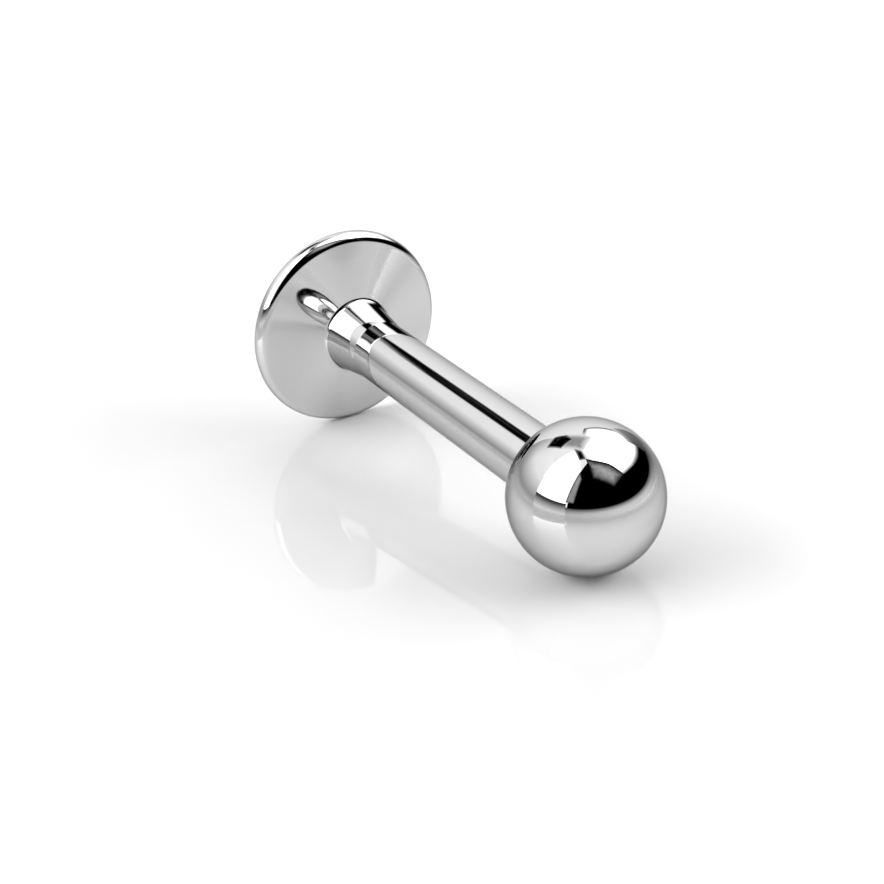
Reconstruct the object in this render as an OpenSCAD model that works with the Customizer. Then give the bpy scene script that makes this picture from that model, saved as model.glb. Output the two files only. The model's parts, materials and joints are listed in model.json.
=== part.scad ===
// Labret stud: a bar on a round thin disc, closed by a ball that screws onto the bar's end.
// It lies on a surface as it would by itself, on the ball and on the lowest point of the disc's edge.
// The origin is on that surface, under the middle of the stud. The ball is towards +X.

/* [Disc] */
// Diameter of the disc
disc_d = 4; // [3.5:0.1:5]
// Thickness of the disc at its edge
disc_t = 0.34; // [0.32:0.02:0.6]
// How far the front face falls from the foot of the bar to the disc's edge
face_drop = 0.3; // [0.1:0.02:0.36]
// Radius of the disc's rounded edge on the bar's side
front_edge_r = 0.22; // [0.1:0.02:0.24]
// Radius of the disc's edge on its outer face
back_edge_r = 0.08; // [0.04:0.02:0.1]

/* [Bar] */
// Diameter of the bar
bar_d = 1.2; // [1:0.05:1.4]
// Length of the bar from the disc's face to the shoulder at the ball
bar_len = 6.5; // [5:0.5:12]
// Length of the flare at the foot of the bar, where it widens towards the disc
flare_len = 0.9; // [0.5:0.1:1.5]
// How much the flare adds to the bar's radius at the disc
flare_w = 0.12; // [0.06:0.02:0.2]
// Radius of the fillet where the flare meets the disc
fillet_r = 0.1; // [0.05:0.05:0.3]

/* [Thread] */
// Width of the shoulder that the ball seats on
shoulder_w = 0.155; // [0.1:0.005:0.2]
// Distance from one turn of the thread to the next
thread_pitch = 0.225; // [0.2:0.025:0.3]
// Number of turns of thread
thread_turns = 5; // [3:1:6]
// Depth of the thread
thread_depth = 0.13; // [0.08:0.01:0.15]
// Length of the plain neck between the shoulder and the thread
neck_len = 0.12; // [0.05:0.01:0.2]
// Size of the chamfer on the thread's tip
tip_chamfer = 0.12; // [0.05:0.01:0.15]

/* [Ball] */
// Diameter of the ball
ball_d = 2.65; // [2.4:0.05:4]
// Width of the flat ring on the ball that stands out round the bar
mouth_w = 0.06; // [0.03:0.01:0.1]
// Depth of the bore beyond the thread's tip
bore_spare = 0.2; // [0.1:0.05:0.3]
// Angle of the bore's pointed end
drill_angle = 118; // [90:2:140]
// Size of the chamfer at the bore's mouth
mouth_chamfer = 0.04; // [0.02:0.01:0.06]

/* [Fits] */
// Gap between the thread's crests and the wall of the bore
thread_gap = 0.03; // [0.02:0.01:0.05]
// Gap between the shoulder and the ball's flat ring
seat_gap = 0.03; // [0.02:0.01:0.05]

/* [Hidden] */
$fn = 96;
overlap = 0.05;
thread_angle = 60;

disc_r = disc_d / 2;
bar_r = bar_d / 2;
ball_r = ball_d / 2;
thread_r = bar_r - shoulder_w;
neck_r = thread_r - thread_depth;
thread_start = bar_len + neck_len;
tip_w = thread_start + thread_turns * thread_pitch + tip_chamfer;
mouth_r = bar_r + mouth_w;
mouth_h = sqrt(ball_r * ball_r - mouth_r * mouth_r);
ball_w = bar_len + seat_gap + mouth_h;
bore_r = thread_r + thread_gap;
bore_end = tip_w + bore_spare;

// The flare starts at height 0, which is the root of the bar, where it meets the disc's face.
foot_r = bar_r + flare_w;
flare_lean = atan(flare_w / flare_len);

// Centres of the disc's rounded edges, as a radius and a height below the root of the bar
// The outer edge is no larger than the thickness that the front edge leaves.
front_flat_r = disc_r - front_edge_r;
face_lean = atan(face_drop / (front_flat_r - foot_r));
front_edge_h = face_drop + front_edge_r / cos(face_lean);
back_h = face_drop + disc_t;
back_round_r = min(back_edge_r, back_h - front_edge_h);
back_flat_r = disc_r - back_round_r;
back_edge_h = back_h - back_round_r;

// Centre of the fillet, which touches the face and the flare
fillet_reach = fillet_r / cos(face_lean + flare_lean);
fillet_x = foot_r + fillet_reach * (cos(face_lean) - sin(flare_lean));
fillet_h = fillet_reach * (cos(flare_lean) - sin(face_lean));

// The stud leans until the ball and the disc's front edge both touch the surface.
edge_reach = norm([ball_w + front_edge_h, front_flat_r]);
lean = atan2(front_flat_r, ball_w + front_edge_h) - asin((ball_r - front_edge_r) / edge_reach);

// The ends of the stud along X, counted from the root of the bar
disc_end = back_edge_h * cos(lean) + back_flat_r * sin(lean) + back_round_r;
ball_end = ball_w * cos(lean) + ball_r;

// Places what is drawn along +Z from the root of the bar as the stud lies on its surface.
module lying() {
    translate([(disc_end - ball_end) / 2, 0, ball_r + ball_w * sin(lean)])
        rotate([0, 90 + lean, 0])
            children();
}

// Half section of the disc and the bar: the disc's front face falls from height 0 at the bar.
module post_blank() {
    polygon([
        [0, -back_h],
        [back_flat_r, -back_h],
        [disc_r, -back_edge_h],
        [disc_r, -front_edge_h],
        [
            front_flat_r + front_edge_r * sin(face_lean),
            front_edge_r * cos(face_lean) - front_edge_h
        ],
        [
            fillet_x - fillet_r * sin(face_lean),
            fillet_h - fillet_r * cos(face_lean)
        ],
        [
            fillet_x - fillet_r * cos(flare_lean),
            fillet_h - fillet_r * sin(flare_lean)
        ],
        [bar_r, flare_len],
        [bar_r, bar_len],
        [neck_r, bar_len],
        [neck_r, thread_start],
        [thread_r, thread_start],
        [thread_r, tip_w - tip_chamfer],
        [thread_r - tip_chamfer, tip_w],
        [0, tip_w]
    ]);
    translate([front_flat_r, -front_edge_h])
        intersection() {
            circle(r = front_edge_r);
            square(front_edge_r);
        }
    translate([back_flat_r, -back_edge_h])
        circle(r = back_round_r);
}

// One V-shaped groove of the thread, cut into the blank at a height
module thread_groove(height) {
    outer = thread_depth + overlap;
    half = outer * tan(thread_angle / 2);
    translate([neck_r, height])
        polygon([[0, 0], [outer, half], [outer, -half]]);
}

// Disc, bar and threaded end, which are one piece of steel
module post() {
    color("silver")
        lying()
            rotate_extrude()
                difference() {
                    post_blank();
                    translate([fillet_x, fillet_h])
                        circle(r = fillet_r);
                    for (turn = [0 : thread_turns - 1])
                        thread_groove(thread_start + (turn + 0.5) * thread_pitch);
                }
}

// Ball with a flat ring and a blind bore that faces the bar
module ball() {
    color("gainsboro")
        lying()
            difference() {
                translate([0, 0, ball_w])
                    sphere(r = ball_r);
                translate([0, 0, ball_w - ball_r - overlap])
                    cylinder(r = ball_r, h = ball_r + overlap - mouth_h);
                translate([0, 0, bar_len - overlap])
                    cylinder(r = bore_r, h = bore_end - bar_len + overlap);
                translate([0, 0, bore_end])
                    cylinder(r1 = bore_r, r2 = 0, h = bore_r / tan(drill_angle / 2));
                translate([0, 0, bar_len + seat_gap - mouth_chamfer])
                    cylinder(r1 = bore_r + 2 * mouth_chamfer, r2 = bore_r, h = 2 * mouth_chamfer);
            }
}

post();
ball();
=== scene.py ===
# %% [markdown]
# # A labret stud in mirror-polished steel
# A labret stud is a round bar that ends in a thin disc. The disc lies inside the lip, and a ball
# screws onto the bar's other end from outside.
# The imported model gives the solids, in metres, with the floor at z = 0. This lesson dresses them: it
# makes the two visible pieces, the steel, the floor, the windows that the steel mirrors, and the camera.

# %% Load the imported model
import json
import math

import bmesh
import bpy
from mathutils import Matrix, Vector


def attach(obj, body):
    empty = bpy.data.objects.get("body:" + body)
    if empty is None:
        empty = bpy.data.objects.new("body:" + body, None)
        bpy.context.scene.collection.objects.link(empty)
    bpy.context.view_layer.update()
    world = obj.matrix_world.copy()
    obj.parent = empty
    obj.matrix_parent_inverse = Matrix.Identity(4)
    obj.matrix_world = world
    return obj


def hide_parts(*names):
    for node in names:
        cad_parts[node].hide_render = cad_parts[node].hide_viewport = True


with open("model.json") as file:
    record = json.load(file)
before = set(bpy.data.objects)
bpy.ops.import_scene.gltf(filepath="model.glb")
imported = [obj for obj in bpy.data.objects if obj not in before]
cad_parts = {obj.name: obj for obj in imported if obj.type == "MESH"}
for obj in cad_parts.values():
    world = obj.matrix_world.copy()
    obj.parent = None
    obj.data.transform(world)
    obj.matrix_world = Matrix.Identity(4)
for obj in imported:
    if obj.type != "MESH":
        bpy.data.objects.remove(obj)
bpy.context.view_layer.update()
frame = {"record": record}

mounts = {m["name"]: m for m in frame["record"]["mounts"]}

# %% [markdown]
# ## The stud's own axis
# Every piece here is round about one axis, which leans down a little from the disc to the ball because
# the stud lies on the ball and on the disc's edge. It is easiest to draw the pieces upright, in
# millimetres, with z along that axis and z = 0 where the bar leaves the disc, and to move the finished
# mesh into place. The axis and its start come from the record's mounts, so they always match the solids.

# %% Axis, start and the matrix that places a drawn piece
MM = 0.001
FACE_DROP = 0.3
DISC_T = 0.34
BACK_H = FACE_DROP + DISC_T

axis = Vector(mounts["bar"]["axis"]).normalized()
root = Vector(mounts["disc_back"]["pos_m"]) + axis * BACK_H * MM
side = Vector((0.0, 1.0, 0.0))
place = Matrix((side.cross(axis), side, axis)).transposed().to_4x4()
place.translation = root
place = place @ Matrix.Scale(MM, 4)
print("root of the bar", [round(v / MM, 3) for v in root], "axis", [round(v, 4) for v in axis])

# %% [markdown]
# ## Outlines
# Turned parts are drawn as half an outline and spun, as a lathe makes them. An outline is a list of
# points (radius, height). Straight runs get two extra points close to their ends: smooth shading blends
# the directions of neighbouring faces, and the extra rings keep that blend out of the flat part, where
# it would bend the reflections.

# %% Arcs and straight runs
RING_MARGIN = 0.012
LONG_RUN = 0.1


def arc(centre, radius, start, end, steps=24):
    """Points on an arc, from one angle to another in degrees."""
    angles = [math.radians(start + (end - start) * i / steps) for i in range(steps + 1)]
    return [(centre[0] + radius * math.cos(a), centre[1] + radius * math.sin(a)) for a in angles]


def near_ends(start, end):
    """The two extra points of a straight run, near its ends."""
    a, b = Vector(start), Vector(end)
    step = (b - a).normalized() * min(RING_MARGIN, (b - a).length / 3)
    return [tuple(a + step), tuple(b - step)]


def with_extra_rings(outline):
    """The outline with the extra points put into its long straight runs."""
    points = [outline[0]]
    for start, end in zip(outline, outline[1:]):
        if math.dist(start, end) > LONG_RUN:
            points += near_ends(start, end)
        points.append(end)
    return points


print("straight runs over", LONG_RUN, "mm get rings", RING_MARGIN, "mm from their ends")

# %% [markdown]
# A full spin ends where it began, so the first and the last ring are merged, and so are the many points that
# meet on the axis. Only real corners, such as the shoulder, stay sharp. Everything else is shaded smooth.

# %% The spin
SPIN_STEPS = 256
SAME_POINT = 1e-5
SHARP_ANGLE = math.radians(32)


def into_scene(name, bm):
    """Makes an object of the scene from a finished mesh."""
    mesh = bpy.data.meshes.new(name)
    bm.to_mesh(mesh)
    bm.free()
    made = bpy.data.objects.new(name, mesh)
    bpy.context.scene.collection.objects.link(made)
    return made


def turned(name, outline, shape):
    """Spins an outline about z, lets shape(bm) work on it, and puts it into place."""
    bm = bmesh.new()
    points = [bm.verts.new((r, 0.0, h)) for r, h in with_extra_rings(outline)]
    edges = [bm.edges.new(pair) for pair in zip(points, points[1:])]
    bmesh.ops.spin(
        bm, geom=points + edges, cent=(0, 0, 0), axis=(0, 0, 1), angle=math.tau,
        steps=SPIN_STEPS, use_merge=True,
    )
    bmesh.ops.remove_doubles(bm, verts=bm.verts, dist=SAME_POINT)
    shape(bm)
    bmesh.ops.recalc_face_normals(bm, faces=bm.faces)
    for face in bm.faces:
        face.smooth = True
    for edge in bm.edges:
        edge.smooth = edge.calc_face_angle(0.0) < SHARP_ANGLE
    bm.transform(place)
    piece = into_scene(name, bm)
    print(name, len(piece.data.polygons), "faces")
    return piece


# %% [markdown]
# ## The disc, the bar and its thread
# On the real stud these are one piece of steel. The disc's front face falls a little from the bar to the
# edge, and the edge is rounded so that it is kind to the skin. The bar widens into a slight flare at its
# foot, and a small fillet joins the flare and the face. On a lathe all of it is turned from one rod.

# %% Sizes of the disc and the bar, in millimetres
DISC_R = 2.0
FRONT_EDGE_R = 0.22
BACK_EDGE_R = 0.08
BAR_R = 0.6
BAR_LEN = 6.5
FLARE_LEN = 0.9
FLARE_W = 0.12
FILLET_R = 0.1
THREAD_R = 0.445
THREAD_DEPTH = 0.13
THREAD_PITCH = 0.225
THREAD_TURNS = 5
NECK_LEN = 0.12
TIP_CHAMFER = 0.12
SHOULDER_BREAK = 0.015

foot_r = BAR_R + FLARE_W
flare_lean = math.atan(FLARE_W / FLARE_LEN)
face_lean = math.atan(FACE_DROP / (DISC_R - FRONT_EDGE_R - foot_r))
front_edge_h = FACE_DROP + FRONT_EDGE_R / math.cos(face_lean)
fillet_scale = FILLET_R / math.cos(face_lean + flare_lean)
fillet_centre = (
    foot_r + (math.cos(face_lean) - math.sin(flare_lean)) * fillet_scale,
    (math.cos(flare_lean) - math.sin(face_lean)) * fillet_scale,
)
thread_start = BAR_LEN + NECK_LEN
tip_h = thread_start + THREAD_TURNS * THREAD_PITCH + TIP_CHAMFER
print("front face leans", round(math.degrees(face_lean), 1), "degrees; tip at", round(tip_h, 3), "mm")

# %% [markdown]
# The outline runs from the middle of the disc's back, round its edge, along the face and the bar, to the
# tip. The two edges and the fillet are arcs that touch their neighbours, so the polish runs on over them
# without a line. The threaded end gets many fine rings, which the groove is cut into later.

# %% The outline of the post
RINGS_PER_TURN = 14
TIP_RINGS = 8
EDGE_STEPS = 12

post_outline = [(0.0, -BACK_H)]
post_outline += arc((DISC_R - BACK_EDGE_R, BACK_EDGE_R - BACK_H), BACK_EDGE_R, -90, 0, EDGE_STEPS)
post_outline += arc((DISC_R - FRONT_EDGE_R, -front_edge_h), FRONT_EDGE_R, 0, 90 - math.degrees(face_lean))
post_outline += arc(fillet_centre, FILLET_R, 270 - math.degrees(face_lean), 180 + math.degrees(flare_lean))
post_outline += [(BAR_R, FLARE_LEN), (BAR_R, BAR_LEN - SHOULDER_BREAK), (BAR_R - SHOULDER_BREAK, BAR_LEN)]
post_outline += [(THREAD_R - THREAD_DEPTH, BAR_LEN), (THREAD_R - THREAD_DEPTH, thread_start)]
rings = THREAD_TURNS * RINGS_PER_TURN
post_outline += [(THREAD_R, thread_start + i * THREAD_PITCH / RINGS_PER_TURN) for i in range(rings + 1)]
for i in range(1, TIP_RINGS + 1):
    share = i / TIP_RINGS
    post_outline.append((THREAD_R - TIP_CHAMFER * share, tip_h - TIP_CHAMFER * (1 - share)))
post_outline.append((0.0, tip_h))
print("outline of the post:", len(post_outline), "points")

# %% [markdown]
# The thread is a helix, so a plain spin can't make it. Each point of the spun end is moved in by the depth
# of the groove at its own height and angle. At both ends the groove runs out over part of a turn, as it
# does where a thread is cut with a die.

# %% Cut the thread and make the post
HALF_GROOVE = 0.36
RUN_IN = 0.5
RUN_OUT = 0.4
ON_THE_WALL = 1e-4


def groove_depth(height, angle, start, end, depth):
    """How deep a V-shaped helical groove is at a height and an angle. Its widths are shares of the pitch."""
    phase = ((height - start) / THREAD_PITCH - angle / math.tau) % 1.0
    v_shape = max(0.0, 1.0 - abs(phase - 0.5) / HALF_GROOVE)
    fade = min(1.0, (height - start) / (RUN_IN * THREAD_PITCH), (end - height) / (RUN_OUT * THREAD_PITCH))
    return depth * v_shape * max(0.0, fade)


def cut_thread(bm):
    """Moves the points of the threaded end in towards the axis."""
    for v in bm.verts:
        radius = math.hypot(v.co.x, v.co.y)
        if v.co.z > thread_start and radius > THREAD_R - TIP_CHAMFER - ON_THE_WALL:
            cut = groove_depth(v.co.z, math.atan2(v.co.y, v.co.x), thread_start, tip_h, THREAD_DEPTH)
            v.co.xy *= (radius - cut) / radius


post = turned("bar_and_disc", post_outline, cut_thread)
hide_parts("post")
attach(post, "post")

# %% [markdown]
# ## The ball
# The ball is turned from rod, drilled and tapped. Where it meets the bar it has a narrow flat ring, which
# seats on the bar's shoulder. The hole ends in the cone that a drill leaves.

# %% Sizes and outline of the ball
BALL_R = 1.325
MOUTH_R = 0.66
SEAT_GAP = 0.03
BORE_R = 0.475
BORE_SPARE = 0.2
DRILL_ANGLE = 118
MOUTH_CHAMFER = 0.04
BALL_STEPS = 128

mouth_h = BAR_LEN + SEAT_GAP
ball_h = mouth_h + math.sqrt(BALL_R ** 2 - MOUTH_R ** 2)
bore_end = tip_h + BORE_SPARE
tap_start = mouth_h + MOUTH_CHAMFER
mouth_angle = -math.degrees(math.acos(MOUTH_R / BALL_R))
rings = round((bore_end - tap_start) / THREAD_PITCH * RINGS_PER_TURN)

ball_outline = [(0.0, ball_h + BALL_R)] + arc((0.0, ball_h), BALL_R, 90, mouth_angle, BALL_STEPS)[1:]
ball_outline += [(BORE_R + MOUTH_CHAMFER, mouth_h)]
ball_outline += [(BORE_R, tap_start + (bore_end - tap_start) * i / rings) for i in range(rings + 1)]
ball_outline += [(0.0, bore_end + BORE_R / math.tan(math.radians(DRILL_ANGLE / 2)))]
print("outline of the ball:", len(ball_outline), "points")

# %% [markdown]
# The hole shows only when the ball is off, and then its thread should be there. Its wall was spun with fine
# rings like the post's end, and here its groove is cut outwards.

# %% Tap the hole and make the ball
TAP_DEPTH = 0.06


def tap_hole(bm):
    """Moves the points of the hole's wall outwards along a helix."""
    for v in bm.verts:
        radius = math.hypot(v.co.x, v.co.y)
        if abs(radius - BORE_R) < ON_THE_WALL and tap_start < v.co.z < bore_end:
            cut = groove_depth(v.co.z, math.atan2(v.co.y, v.co.x), tap_start, bore_end, TAP_DEPTH)
            v.co.xy *= (radius + cut) / radius


ball = turned("closure_ball", ball_outline, tap_hole)
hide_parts("ball")
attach(ball, "ball")
print("ball centre", [round(v / MM, 3) for v in place @ Vector((0, 0, ball_h))])

# %% [markdown]
# ## Writing shaders as sums
# A material is a graph of nodes, and most of its nodes do simple arithmetic. The small class below wraps
# one output socket, so that a + b or 1 - mask adds the Math node by itself.

# %% A socket that does sums
class Signal:
    """A number that varies over the surface."""

    def __init__(self, maker, socket):
        self.maker, self.socket = maker, socket

    def maths(self, operation, *others):
        return self.maker.node("ShaderNodeMath", {"operation": operation}, [self, *others])

    def __add__(self, other):
        return self.maths("ADD", other)

    def __mul__(self, other):
        return self.maths("MULTIPLY", other)

    __radd__, __rmul__ = __add__, __mul__

    def __sub__(self, other):
        return self.maths("SUBTRACT", other)

    def __rsub__(self, other):
        return self.maker.node("ShaderNodeMath", {"operation": "SUBTRACT"}, [other, self])

    def between(self, low, high):
        """0 below low, 1 above high, and smooth in between."""
        values = {"Value": self, "From Min": low, "From Max": high}
        return self.maker.node("ShaderNodeMapRange", {"interpolation_type": "SMOOTHSTEP"}, values)


# %% [markdown]
# Every other node comes from one method, which takes the node's type, its settings, and what goes into its
# sockets: a number, a colour or another node's output.

# %% A maker of nodes
class NodeMaker:
    """Adds nodes to one material."""

    def __init__(self, material):
        material.use_nodes = True
        self.tree = material.node_tree
        self.shader = self.tree.nodes["Principled BSDF"]

    def feed(self, socket, value):
        if isinstance(value, Signal):
            self.tree.links.new(value.socket, socket)
        else:
            socket.default_value = value

    def node(self, kind, settings, values, output=0):
        """Makes a node, sets it up, fills its sockets and returns one output."""
        made = self.tree.nodes.new(kind)
        for name, value in settings.items():
            setattr(made, name, value)
        for key, value in values.items() if isinstance(values, dict) else enumerate(values):
            self.feed(made.inputs[key], value)
        return Signal(self, made.outputs[output])

    def into_shader(self, **values):
        for name, value in values.items():
            self.feed(self.shader.inputs[name.replace("_", " ")], value)


# %% [markdown]
# ## Polished steel
# Polished steel is a mirror of about two thirds brightness, so its look is mostly the look of what stands
# round it. What makes it steel and not chrome paint is small: the mirror is slightly uneven, because the
# part was polished by hand on a soft wheel, very fine lines run round the bar from turning, a thin haze
# of wiping marks changes the gloss, and here and there is a pinprick left by the wheel.

# %% The steel
STEEL_DARK = (0.645, 0.645, 0.65, 1.0)
STEEL_LIGHT = (0.695, 0.693, 0.69, 1.0)
EDGE_TINT = (0.4, 0.4, 0.4, 1.0)


def polished_steel(name, waviness, line_height, haze):
    """Mirror-polished steel: waviness and line_height in metres, haze is added roughness."""
    material = bpy.data.materials.new(name)
    make = NodeMaker(material)
    spot = make.node("ShaderNodeTexCoord", {}, {}, output=3)
    in_mm = make.node("ShaderNodeVectorMath", {"operation": "SCALE"}, {0: spot, "Scale": 1 / MM})
    along = make.node("ShaderNodeVectorMath", {"operation": "DOT_PRODUCT"}, [in_mm, tuple(axis)], output=1)

    def noise(scale, detail, **more):
        return make.node("ShaderNodeTexNoise", {}, {"Vector": in_mm, "Scale": scale, "Detail": detail} | more)

    broad = noise(0.9, 2.0, Roughness=0.4)
    wiped = noise(3.5, 5.0, Distortion=0.8)
    along_the_bar = {"W": along, "Scale": 26.0, "Detail": 3.0}
    lines = make.node("ShaderNodeTexNoise", {"noise_dimensions": "1D"}, along_the_bar)
    grit = noise(60.0, 2.0)
    pits = make.node("ShaderNodeTexVoronoi", {}, {"Vector": in_mm, "Scale": 2.6, "Randomness": 1.0})
    pit_here = 1 - pits.between(0.018, 0.035)

    # The tint is darker in the pits: painted shade in them. Their added roughness and dent are real.
    tint = make.node(
        "ShaderNodeMix", {"data_type": "RGBA"},
        {"Factor": wiped * 0.7 + grit * 0.3 - pit_here * 0.5, "A": STEEL_DARK, "B": STEEL_LIGHT}, output=2,
    )
    roughness = wiped.between(0.35, 0.75) * haze + grit * 0.012 + pit_here * 0.2 + 0.016
    uneven = make.node("ShaderNodeBump", {}, {"Height": broad, "Distance": waviness})
    turned_lines = make.node(
        "ShaderNodeBump", {}, {"Height": lines - pit_here * 0.5, "Distance": line_height, "Normal": uneven}
    )
    make.into_shader(Base_Color=tint, Roughness=roughness, Normal=turned_lines, Metallic=1.0)
    make.into_shader(Specular_Tint=EDGE_TINT)
    print(name, len(make.tree.nodes), "nodes")
    return material


post.data.materials.append(polished_steel("polished_post_steel", 3e-6, 4e-8, 0.03))
ball.data.materials.append(polished_steel("polished_ball_steel", 1.5e-6, 1e-8, 0.012))

# %% [markdown]
# ## The floor
# The stud lies on a sheet of white acrylic. It is lit until it is just white in the picture, and no more:
# then its gloss still shows a faint picture of the stud upside down. Its shade is darker near the two
# contacts. The sheet itself is paler than paper white, because the lamps make up for it.

# %% The floor
FLOOR_SIZE = 1.6
FLOOR_DROP = 0.002 * MM

floor_bm = bmesh.new()
bmesh.ops.create_grid(floor_bm, x_segments=1, y_segments=1, size=FLOOR_SIZE / 2)
bmesh.ops.translate(floor_bm, verts=floor_bm.verts, vec=(0, 0, -FLOOR_DROP))
floor = into_scene("floor", floor_bm)

acrylic = bpy.data.materials.new("white_acrylic")
make = NodeMaker(acrylic)
spot = make.node("ShaderNodeTexCoord", {}, {}, output=3)
dust = make.node("ShaderNodeTexNoise", {}, {"Vector": spot, "Scale": 900.0, "Detail": 3.0})
make.into_shader(Base_Color=(0.64, 0.64, 0.64, 1.0), Roughness=dust * 0.02 + 0.03, IOR=1.33)
floor.data.materials.append(acrylic)
print("floor", FLOOR_SIZE, "m wide")

# %% [markdown]
# ## What the steel mirrors
# A mirror has no colour of its own, so the room is built as the photographer had it: a tall white window
# left of the camera, a large one above and to the right, and the dark room between them. Directions are
# given as seen from the stud: azimuth from the camera, positive to its right, and elevation. One glowing
# material serves the cards, bright inside and dimmer at the edge, and another the walls, whose light and
# shade are painted into their glow.

# %% Directions and paints
CAMERA_AZIMUTH = 54.387

phi = math.radians(CAMERA_AZIMUTH)
towards_camera = Vector((math.sin(phi), -math.cos(phi), 0.0))
to_the_right = Vector((math.cos(phi), math.sin(phi), 0.0))


def direction(azimuth, elevation):
    """A unit vector from the stud, by azimuth from the camera and by elevation, in degrees."""
    az, el = math.radians(azimuth), math.radians(elevation)
    level = towards_camera * math.cos(az) + to_the_right * math.sin(az)
    return level * math.cos(el) + Vector((0, 0, math.sin(el)))


def glowing(name, inside, outside, mottled=0.0):
    """Gives off light: one brightness inside a card, another at its edge, and soft in between."""
    material = bpy.data.materials.new(name)
    make = NodeMaker(material)
    spot = make.node("ShaderNodeTexCoord", {}, {}, output=3)
    depth = make.node("ShaderNodeAttribute", {"attribute_name": "depth"}, {}, output=2)
    cloudy = {"Vector": spot, "Scale": 22.0, "Detail": 4.0, "Roughness": 0.6}
    cloud = make.node("ShaderNodeTexNoise", {}, cloudy)
    level = depth.between(0.0, 1.0) * (inside - outside) + outside
    glow = level + (cloud - 0.5) * mottled * depth.between(0.0, 1.0)
    make.into_shader(Base_Color=(0, 0, 0, 1), Roughness=1.0, Emission_Color=glow.maths("MAXIMUM", 0.0))
    make.into_shader(Emission_Strength=1.0, Specular_IOR_Level=0.0)
    return material


# The walls' glow is painted light and shade, read from a value stored on each point.
painted_band_light = bpy.data.materials.new("painted_band_light")
make = NodeMaker(painted_band_light)
glow = make.node("ShaderNodeAttribute", {"attribute_name": "glow"}, {}, output=2)
make.into_shader(Base_Color=(0, 0, 0, 1), Roughness=1.0, Emission_Color=glow)
make.into_shader(Emission_Strength=1.0, Specular_IOR_Level=0.0)
print("azimuth 0 is towards", [round(v, 3) for v in towards_camera])

# %% [markdown]
# A card is a flat shape given by the directions of its corners. Its edge can fade, because real windows and
# shadows on a wall have soft edges. Walls whose brightness changes with height are curved bands with a
# painted value of light at each level. The camera doesn't see any of them, and most of them show in the
# steel alone, so that the floor can be lit apart.

# %% Cards and bands
BAND_STEPS = 24


def stand_up(name, bm, material, in_mirror, lights_floor):
    """Makes a card from its mesh and sets which kinds of light ray can see it."""
    made = into_scene(name, bm)
    made.data.materials.append(material)
    made.visible_camera = False
    made.visible_glossy = in_mirror
    made.visible_diffuse = lights_floor
    made.visible_shadow = in_mirror


def card(name, corners, material, soft=2.0, distance=0.3, soft_below=90, in_mirror=True, lights_floor=False):
    """A flat card whose corners are seen from the stud in the given directions, with soft edges."""
    rays = [direction(*c) for c in corners]
    facing = sum(rays, Vector()).normalized()
    bm = bmesh.new()
    bmesh.ops.contextual_create(bm, geom=[bm.verts.new(r * distance / r.dot(facing)) for r in rays])
    width = distance * math.radians(soft)
    bmesh.ops.inset_region(bm, faces=bm.faces, thickness=width, use_even_offset=True, use_boundary=True)
    depth = bm.verts.layers.float.new("depth")
    for v in bm.verts:
        low = math.degrees(math.asin(v.co.normalized().z)) < soft_below
        v[depth] = 0.0 if v.is_boundary and low else 1.0
    stand_up(name, bm, material, in_mirror, lights_floor)


def band(name, azimuths, levels, distance=0.28):
    """A curved strip of wall with painted light and shade. Each level is an elevation and the brightness
    there at both ends.
    """
    bm = bmesh.new()
    bmesh.ops.create_grid(bm, x_segments=BAND_STEPS, y_segments=len(levels) - 1, size=1.0)
    glow = bm.verts.layers.float.new("glow")
    for v in bm.verts:
        across = (v.co.x + 1) / 2
        elevation, first, last = levels[round((v.co.y + 1) / 2 * (len(levels) - 1))]
        v[glow] = first + (last - first) * across
        ray = direction(azimuths[0] + (azimuths[1] - azimuths[0]) * across, elevation)
        v.co = ray * distance / math.cos(math.radians(elevation))
    stand_up(name, bm, painted_band_light, True, False)


# %% [markdown]
# The left window shows as the tall white shape on the ball, the right one as the white shape above it to
# the right. The dark room stands in front and to the right, down to the floor, and also keeps light off the
# floor there. Smaller cards break these up: a dark edge beside the left window, a gap overhead, and shade
# behind.

# %% The two windows and the dark room
window_left = glowing("window_left", 3.2, 1.6)
window_right = glowing("window_right", 3.2, 0.05)
dark_room = glowing("dark_room", 0.0, 0.0)
dark_cloth = glowing("dark_cloth", 0.0, 0.5, 0.2)
# The next material glows dimmer inside than the pale room round it: painted shade behind and above the stud.
painted_grey_shade = glowing("painted_grey_shade", 0.42, 1.15, 0.4)
grey_edge = glowing("grey_edge", 0.42, 0.1, 0.4)
grey_blur = glowing("grey_blur", 0.45, 0.0, 0.9)

card("window_left", [(-77, 13), (-29, 13), (-11, 62), (-24, 77), (-112, 77)], window_left, 2.5)
card(
    "window_right",
    [(70, 36), (100, 30), (120, 24), (140, 16), (156, 26), (180, 42), (-150, 80), (30, 80)],
    window_right, 11.0, soft_below=60,
)
card("room_front", [(-28, -1), (22, -1), (22, 76), (-12, 60)], dark_room, 1.0, 0.31, lights_floor=True)
card(
    "room_right", [(22, -1), (72, -1), (72, 38), (58, 66), (22, 76)],
    dark_room, 1.0, 0.31, lights_floor=True,
)
card(
    "room_far_right", [(72, -1), (105, -1), (141, -1), (141, 24), (120, 34), (100, 39), (72, 42)],
    dark_room, 1.0, 0.33, lights_floor=True,
)
card("shade_of_the_room", [(15, 50), (48, 30), (76, 36), (70, 58), (40, 74), (5, 80)], grey_blur, 11.0, 0.27)
card("window_left_edge", [(-29, 16), (-17, 16), (-7, 50), (-13, 60)], grey_edge, 3.0, 0.29)
card("gap_overhead", [(-125, 75.5), (-30, 76), (10, 79), (-20, 87), (-130, 86)], dark_cloth, 2.5, 0.27)
card("back_flag", [(-148, 38.5), (-128, 40), (-120, 60), (-158, 62), (-157, 48)], dark_cloth, 3.0, 0.28)
card("back_shade", [(165, 60), (-155, 46), (-118, 60), (-115, 85), (-180, 85)], painted_grey_shade, 9.0, 0.285)
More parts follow.
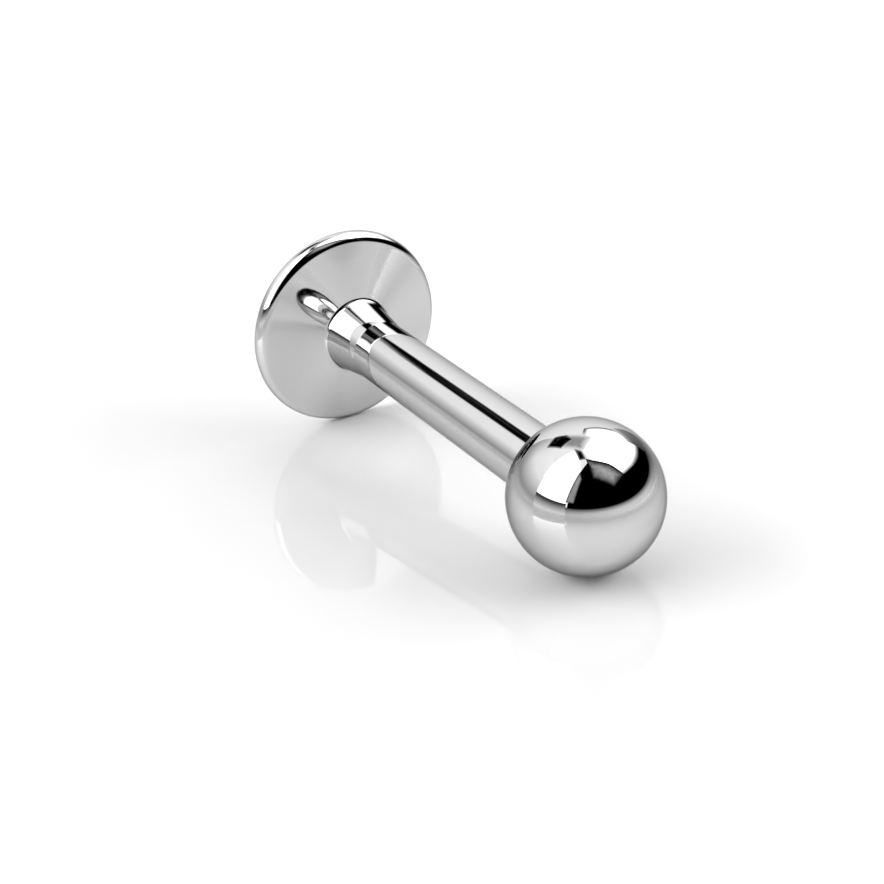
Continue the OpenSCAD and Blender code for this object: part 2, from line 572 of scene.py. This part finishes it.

# %% [markdown]
# The floor far from the stud and the foot of each wall are neither white nor black. They show as a soft rim
# round the ball's middle and as the grey lines on the bar. Each band is a plain gradient of painted light in
# a few levels: painted light at the floor, painted shade at the wall's foot, and paler again as it rises
# towards the window.

# %% Walls and the far floor, with painted light and shade
band("under_window_left", (-77, -28), [(-1, 1.0, 1.0), (11, 0.1, 0.1), (14, 0.0, 0.0)])
band("far_floor", (-28, 40), [(-1, 0.7, 0.9), (3, 0.5, 0.8), (9, 0.0, 0.0)])
band("far_floor_right", (40, 95), [(-1, 0.9, 0.9), (3, 0.8, 0.8), (9, 0.0, 0.0)])
band("far_floor_back", (95, 141), [(-1, 0.9, 0.4), (3, 0.8, 0.2), (9, 0.0, 0.0)])
band("wall_left", (-120, -77), [(-1, 0.65, 0.65), (6, 0.4, 0.4), (28, 1.15, 1.15), (52, 1.2, 1.4)], 0.29)
band("wall_back_left", (-146, -120), [(-1, 0.45, 0.65), (6, 0.4, 0.4), (28, 0.6, 1.15), (52, 1.2, 1.2)], 0.29)
# The dark corner is painted shade, darkest near the wall's foot.
band("dark_corner", (139, 160), [(-1, 0.4, 0.5), (6, 0.05, 0.35), (20, 0.1, 0.5), (28, 0.7, 1.25)])

# %% [markdown]
# Two lamps light only the floor. Each stands low at one side, so the disc's shade falls to the left and the
# ball's to the right, as two windows would throw it.

# %% The floor's two lamps
side_light = glowing("side_light", 6.0, 6.0)
card(
    "side_light_right", [(65, 12), (125, 12), (125, 42), (65, 42)], side_light, 2.0, 0.06,
    in_mirror=False, lights_floor=True,
)
card(
    "side_light_left", [(-110, 12), (-50, 12), (-50, 42), (-110, 42)], side_light, 2.0, 0.26,
    in_mirror=False, lights_floor=True,
)

# %% [markdown]
# The rest of the room is pale and even, so the world is a plain pale light. The picture is shown as it is
# measured, without a film's curve, so that white stays white.

# %% The room's own light
ROOM_LIGHT = 1.25

world = bpy.data.worlds.new("pale_room")
world.use_nodes = True
background = world.node_tree.nodes["Background"]
background.inputs["Color"].default_value = (1.0, 1.0, 1.0, 1.0)
background.inputs["Strength"].default_value = ROOM_LIGHT
bpy.context.scene.world = world
bpy.context.scene.view_settings.view_transform = "Standard"
print("room light", ROOM_LIGHT)

# %% [markdown]
# ## The camera
# The camera stands close, as for any close-up of a thing one centimetre long, so the near ball looks
# larger than it would from far away. Its place is given round the ball's centre. Then it is panned and
# tilted a little, because the ball isn't in the middle of the picture.

# %% The camera
CAMERA_ELEVATION = 26.027
CAMERA_DISTANCE = 26.687 * MM
PAN = 5.026
TILT = 2.014
ROLL = -0.935
LENS = 66.122

ball_centre = place @ Vector((0, 0, ball_h))
camera_data = bpy.data.cameras.new("camera")
camera_data.lens = LENS
camera_data.sensor_width = 36.0
camera_data.clip_start = 1e-4
camera = bpy.data.objects.new("camera", camera_data)
bpy.context.scene.collection.objects.link(camera)
bpy.context.scene.camera = camera

back = direction(0, CAMERA_ELEVATION)
up = back.cross(to_the_right)
turn = Matrix((to_the_right, up, back)).transposed().to_4x4()
turn = turn @ Matrix.Rotation(math.radians(PAN), 4, "Y") @ Matrix.Rotation(math.radians(TILT), 4, "X")
turn = turn @ Matrix.Rotation(math.radians(ROLL), 4, "Z")
camera.matrix_world = Matrix.Translation(ball_centre + back * CAMERA_DISTANCE) @ turn
print("camera at", [round(v / MM, 2) for v in camera.matrix_world.translation], "mm")
